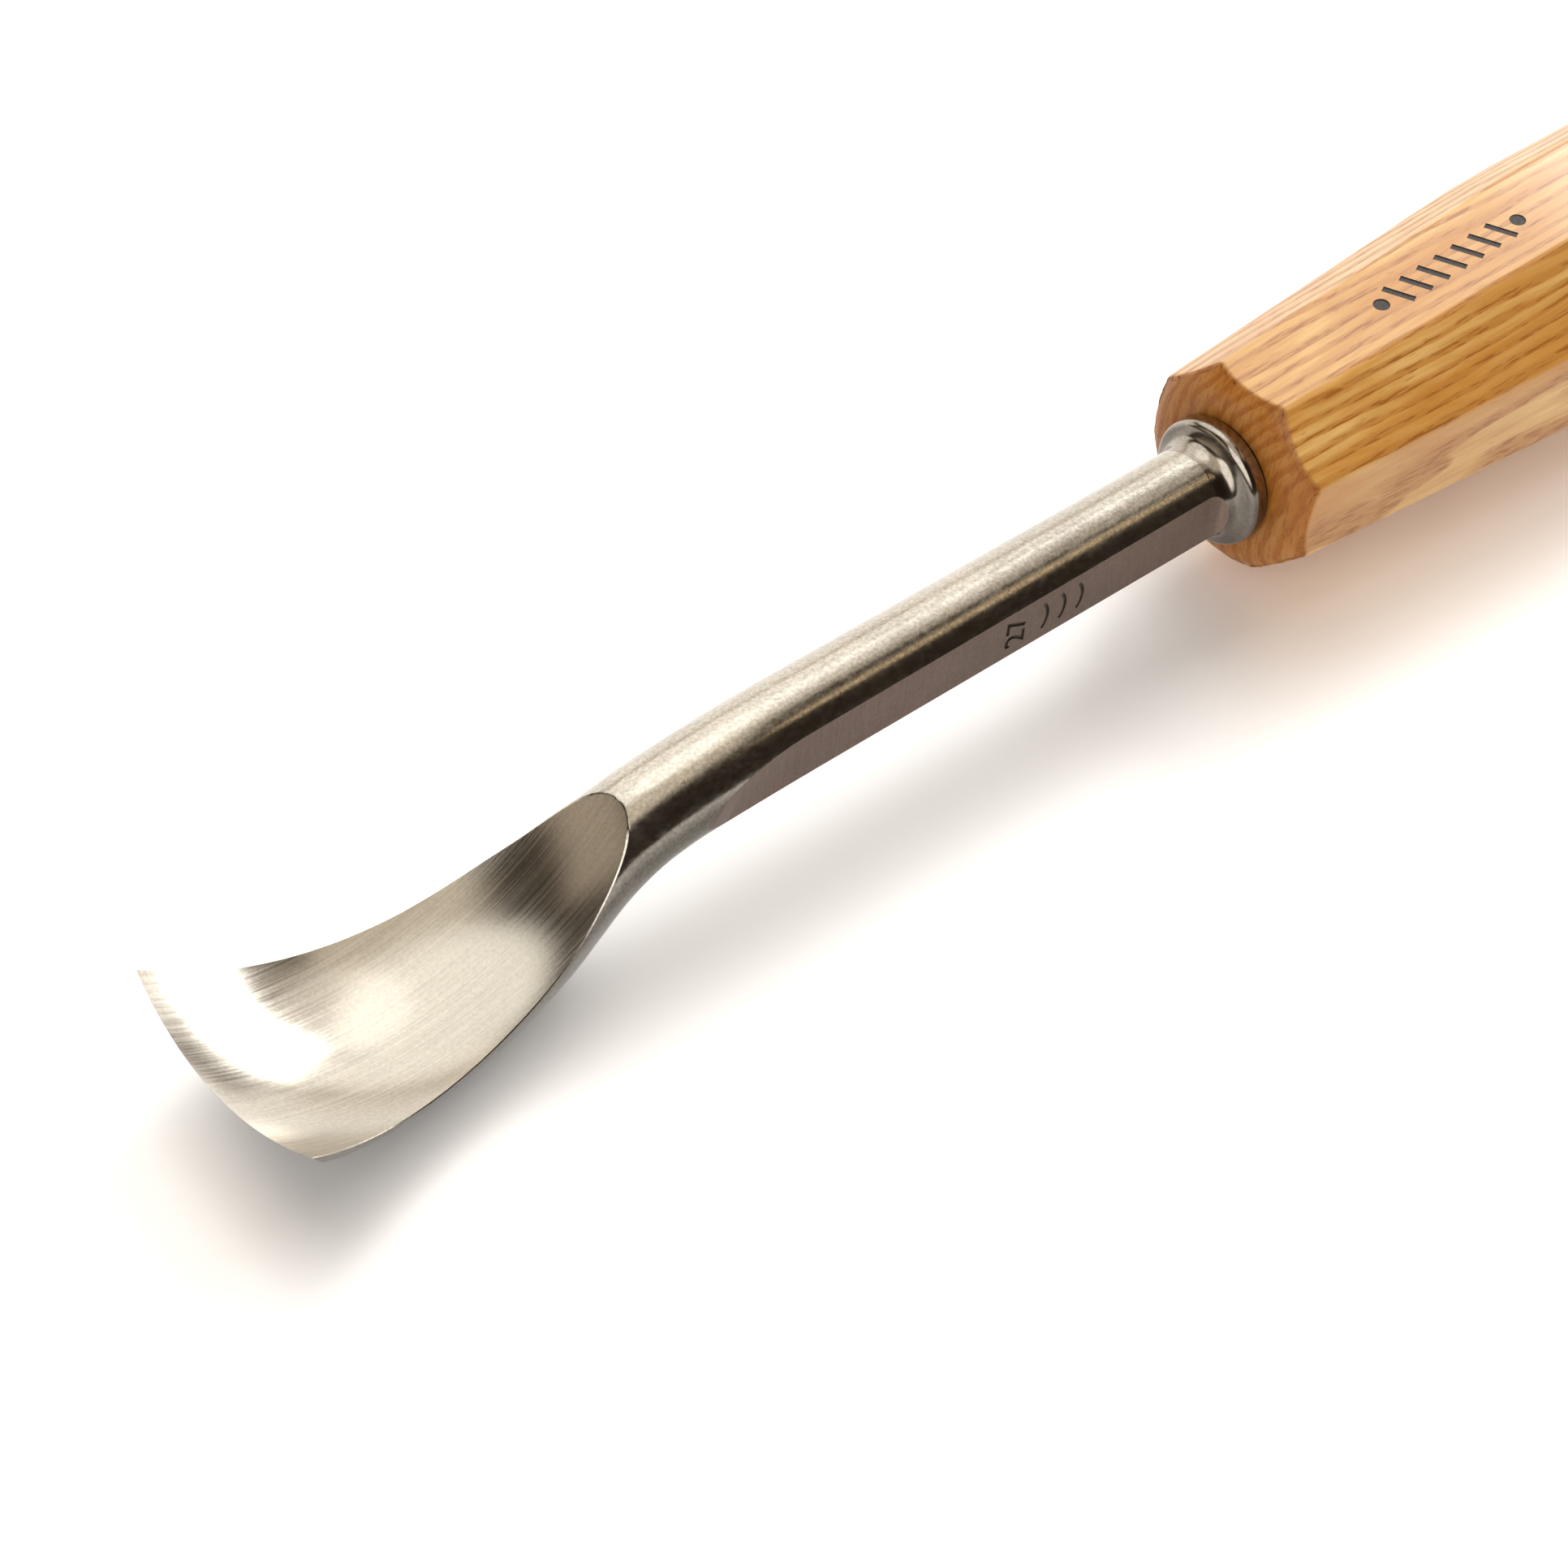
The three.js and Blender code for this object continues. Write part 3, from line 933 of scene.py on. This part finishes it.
def steel(
    name,
    colour,
    roughness,
    brush,
    brush_depth,
    grit_depth,
    cloud=0.05,
    speckle=0.0,
    streak=0.0,
    grain=0.0,
    painted_shade_underside=1.0,
):
    """Worked steel. brush is how many grinding lines cross a metre along x, y and z, and the two
    depths are in mm. cloud, speckle, streak and grain say how far the colour darkens in broad patches,
    in rare specks, along the lines and in fine grains; underside is the share of the colour that is left
    on faces that don't look up, which is painted shade rather than a colour of the steel."""
    material = bpy.data.materials.new(name)
    tree = node_tree(material)
    where = add_node(tree, "ShaderNodeTexCoord").outputs["Object"]
    lines = stretched_noise(tree, where, brush, 5.0, 0.7)
    scratches = stretched_noise(tree, where, tuple(0.45 * value for value in brush), 2.0, 0.4)
    fine_scratch = smooth_step(tree, scratches, 0.66, 0.72)
    grit = stretched_noise(tree, where, (4500, 4500, 4500), 2.0, 0.6)
    pits = stretched_noise(tree, where, (2600, 2600, 2600), 2.0, 0.6)
    clouds = stretched_noise(tree, where, (90, 160, 160), 3.0, 0.6)
    specks = stretched_noise(tree, where, (1500, 1500, 1500), 1.0, 0.3)
    speck = smooth_step(tree, specks, 0.77, 0.81)
    tone = smooth_step(tree, clouds, 0.3, 0.7, 1 - cloud, 1 + cloud * 0.4)
    tone = maths(tree, "MULTIPLY", tone, smooth_step(tree, lines, 0.3, 0.7, 1 - streak, 1 + 0.3 * streak))
    tone = maths(tree, "MULTIPLY", tone, smooth_step(tree, pits, 0.3, 0.7, 1 - grain, 1 + 0.4 * grain))
    tinted = scaled(tree, colour, tone)
    rust = tuple(0.3 * value for value in colour)
    tinted = paint(tree, tinted, maths(tree, "MULTIPLY", speck, speckle), rust)
    # Painted shade: the colour darkens on faces whose normal doesn't point up in the world.
    if painted_shade_underside < 1:
        facing = add_node(tree, "ShaderNodeNewGeometry").outputs["Normal"]
        upward = add_node(tree, "ShaderNodeSeparateXYZ", {"Vector": facing}).outputs["Z"]
        shade = smooth_step(tree, upward, 0.15, 0.55, painted_shade_underside, 1.0)
        tinted = scaled(tree, tinted, shade)
    rough = smooth_step(tree, lines, 0.3, 0.7, roughness - 0.04, roughness + 0.05)
    rough = maths(tree, "ADD", rough, maths(tree, "MULTIPLY", clouds, 0.05))
    normal = bumped(tree, lines, 1.0, brush_depth)
    normal = bumped(tree, fine_scratch, -0.5, brush_depth, normal)
    normal = bumped(tree, grit, 1.0, grit_depth, normal)
    shader = add_node(
        tree,
        "ShaderNodeBsdfPrincipled",
        {"Base Color": tinted, "Metallic": 1.0, "Roughness": rough, "Normal": normal},
    )
    finish_material(tree, shader)
    return material


STEEL_TINT = (0.61, 0.572, 0.508)
# Painted shade: the flats' colour is partly the ground steel's own brownish tone and mostly a darkening
# that stands in for the shaded floor they reflect.
FLAT_PAINTED_SHADE_TINT = (0.21, 0.155, 0.13)
# Painted shade: the collar's colour is darkened to stand in for the shaded floor that its lower side
# reflects.
COLLAR_PAINTED_SHADE_TINT = (0.42, 0.38, 0.33)
TANG_TINT = (0.36, 0.34, 0.32)
RING_TINT = (0.6, 0.6, 0.59)
MARK_TINT = (0.045, 0.034, 0.028)
BURNT_TINT = (0.035, 0.03, 0.03)
ALL_ROUND = (900, 1800, 1800)
LENGTHWISE = (12, 4200, 12)
ACROSS = (5200, 160, 160)


def make_steels():
    return {
        # The bar's and the collar's steel carry painted shade: their colour darkens on faces that don't
        # look up.
        "bar": steel(
            "drawn_steel_painted_shade", STEEL_TINT, 0.15, ALL_ROUND, 0.0006, 0.0032,
            cloud=0.1, speckle=0.5, grain=0.22, painted_shade_underside=0.36,
        ),
        "hollow": steel(
            "polished_hollow", STEEL_TINT, 0.16, LENGTHWISE, 0.0016, 0.0016, streak=0.14, grain=0.08
        ),
        "bevel": steel("ground_bevel", STEEL_TINT, 0.14, ACROSS, 0.0010, 0.0006, streak=0.12),
        "flat": steel(
            "ground_flat_painted_shade", FLAT_PAINTED_SHADE_TINT, 0.32, ACROSS, 0.0020, 0.0015, cloud=0.08, streak=0.16, grain=0.1
        ),
        "collar": steel(
            "turned_collar_painted_shade", COLLAR_PAINTED_SHADE_TINT, 0.12, (2400, 700, 700), 0.0006, 0.0014,
            cloud=0.1, speckle=0.3, streak=0.1, grain=0.12, painted_shade_underside=0.42,
        ),
        "tang": steel("forged_tang", TANG_TINT, 0.5, (900, 900, 900), 0.02, 0.02, cloud=0.2),
        "ring": steel("drawn_ring", RING_TINT, 0.34, (12, 3000, 3000), 0.0020, 0.0015),
        "mark": dark_stain("etched_mark", MARK_TINT, 0.6),
    }


def dark_stain(name, colour, roughness):
    """The dark, dull bottom of a stamped or burnt sign."""
    material = bpy.data.materials.new(name)
    tree = node_tree(material)
    where = add_node(tree, "ShaderNodeTexCoord").outputs["Object"]
    mottle = stretched_noise(tree, where, (2500, 2500, 2500), 3.0, 0.6)
    darker = tuple(0.6 * value for value in colour)
    lighter = tuple(1.7 * value for value in colour)
    tint = ramp(tree, mottle, [(0.3, darker), (0.7, lighter)])
    normal = bumped(tree, mottle, 0.6, 0.02)
    shader = add_node(
        tree,
        "ShaderNodeBsdfPrincipled",
        {"Base Color": tint, "Roughness": roughness, "Normal": normal},
    )
    finish_material(tree, shader)
    return material


# The tree's heart lies this far from the handle's axis, across and up, in mm.
PITH = (-70, -16)
RING_SPACING = 1.55
WOOD_PALE = (0.93, 0.60, 0.23)
WOOD_GOLD = (0.76, 0.42, 0.12)
WOOD_ORANGE = (0.64, 0.27, 0.045)
WOOD_EARLY = (0.56, 0.235, 0.045)
WOOD_FIBRE = (0.52, 0.24, 0.055)
WOOD_PORE = (0.36, 0.112, 0.010)
WOOD_END = (0.35, 0.115, 0.015)
WOOD_END_DARK = (0.22, 0.06, 0.008)


def ash_wood():
    """Ring-porous wood: rows of open pores along each growth ring, under a satin lacquer."""
    material = bpy.data.materials.new("lacquered_ash")
    tree = node_tree(material)
    where = add_node(tree, "ShaderNodeTexCoord").outputs["Object"]
    sway = stretched_noise(tree, where, (16, 70, 70), 2.0, 0.5)
    ripple = stretched_noise(tree, where, (90, 420, 420), 2.0, 0.5)
    axes = add_node(tree, "ShaderNodeSeparateXYZ", {"Vector": where}).outputs
    across = maths(tree, "SUBTRACT", axes["Y"], PITH[0] * MM)
    up = maths(tree, "SUBTRACT", axes["Z"], (AXIS_HEIGHT + PITH[1]) * MM)
    squares = maths(tree, "ADD", maths(tree, "MULTIPLY", across, across), maths(tree, "MULTIPLY", up, up))
    distance = maths(tree, "SQRT", squares)
    for wander, amount in ((sway, 6.0 * MM), (ripple, 0.9 * MM), (axes["X"], 0.02)):
        distance = maths(tree, "ADD", distance, maths(tree, "MULTIPLY", wander, amount))
    ring = maths(tree, "FRACT", maths(tree, "DIVIDE", distance, RING_SPACING * MM))
    early = maths(tree, "MULTIPLY", smooth_step(tree, ring, 0.0, 0.10), smooth_step(tree, ring, 0.62, 0.28))

    dashes = smooth_step(tree, stretched_noise(tree, where, (240, 3600, 3600), 2.0, 0.5), 0.57, 0.66)
    streaks = smooth_step(tree, stretched_noise(tree, where, (42, 4000, 4000), 2.0, 0.5), 0.54, 0.62)
    pore = maths(tree, "MULTIPLY", maths(tree, "MAXIMUM", dashes, streaks), early)
    stray = smooth_step(tree, stretched_noise(tree, where, (330, 3300, 3300), 1.0, 0.4), 0.70, 0.76)
    pore = maths(tree, "MAXIMUM", pore, maths(tree, "MULTIPLY", stray, 0.5))
    fibre = stretched_noise(tree, where, (45, 2300, 2300), 4.0, 0.6)
    figure = stretched_noise(tree, where, (22, 170, 170), 3.0, 0.6, 0.6)

    colour = ramp(tree, figure, [(0.32, WOOD_ORANGE), (0.50, WOOD_GOLD), (0.68, WOOD_PALE)])
    colour = paint(tree, colour, maths(tree, "MULTIPLY", early, 0.8), WOOD_EARLY)
    colour = paint(tree, colour, smooth_step(tree, fibre, 0.35, 0.75, 0.0, 0.42), WOOD_FIBRE)
    colour = paint(tree, colour, maths(tree, "MULTIPLY", pore, 0.85), WOOD_PORE)

    facing = add_node(tree, "ShaderNodeNewGeometry").outputs["Normal"]
    ahead = add_node(tree, "ShaderNodeSeparateXYZ", {"Vector": facing}).outputs["X"]
    end_grain = maths(
        tree, "MAXIMUM", smooth_step(tree, ahead, -0.12, -0.55), smooth_step(tree, ahead, 0.12, 0.55)
    )
    pits = smooth_step(tree, stretched_noise(tree, where, (2300, 1500, 1500), 2.0, 0.5), 0.62, 0.70)
    end_colour = paint(tree, colour, 0.78, WOOD_END)
    cut_fibre = stretched_noise(tree, where, (1200, 3200, 420), 3.0, 0.6)
    end_colour = paint(tree, end_colour, maths(tree, "MULTIPLY", early, 0.22), WOOD_END_DARK)
    end_colour = paint(tree, end_colour, smooth_step(tree, cut_fibre, 0.45, 0.75, 0.0, 0.6), WOOD_END_DARK)
    end_colour = paint(tree, end_colour, maths(tree, "MULTIPLY", pits, 0.5), WOOD_PORE)
    colour = paint(tree, colour, end_grain, end_colour)

    normal = bumped(tree, fibre, 0.35, 0.03)
    normal = bumped(tree, pore, -0.6, 0.05, normal)
    normal = bumped(tree, maths(tree, "MULTIPLY", pits, end_grain), -0.5, 0.04, normal)
    slanting = add_node(tree, "ShaderNodeLayerWeight", {"Blend": 0.5}).outputs["Facing"]
    lacquer = smooth_step(tree, slanting, 0.45, 0.85, 1.0, 0.4)
    lacquer = maths(tree, "MULTIPLY", lacquer, smooth_step(tree, end_grain, 0.0, 1.0, 1.0, 0.2))
    rough = maths(tree, "ADD", 0.36, maths(tree, "MULTIPLY", pore, 0.3))
    rough = maths(tree, "ADD", rough, smooth_step(tree, fibre, 0.3, 0.7, -0.05, 0.06))
    shader = add_node(
        tree,
        "ShaderNodeBsdfPrincipled",
        {
            "Base Color": colour,
            "Roughness": rough,
            "Normal": normal,
            "Specular IOR Level": 0.1,
            "Coat Weight": lacquer,
            "Coat IOR": 1.75,
            "Coat Roughness": 0.24,
            "Coat Normal": normal,
        },
    )
    finish_material(tree, shader)
    return material


# ---- Making the scene -----------------------------------------------------

scene = bpy.context.scene
scene.view_settings.view_transform = "Standard"
scene.view_settings.look = "None"

make_camera()
make_world()
make_lights()
make_floor()

steels = make_steels()
make_blade(steels)
make_handle(ash_wood(), dark_stain("burnt_mark", BURNT_TINT, 0.55))
make_ferrule(steels["ring"])
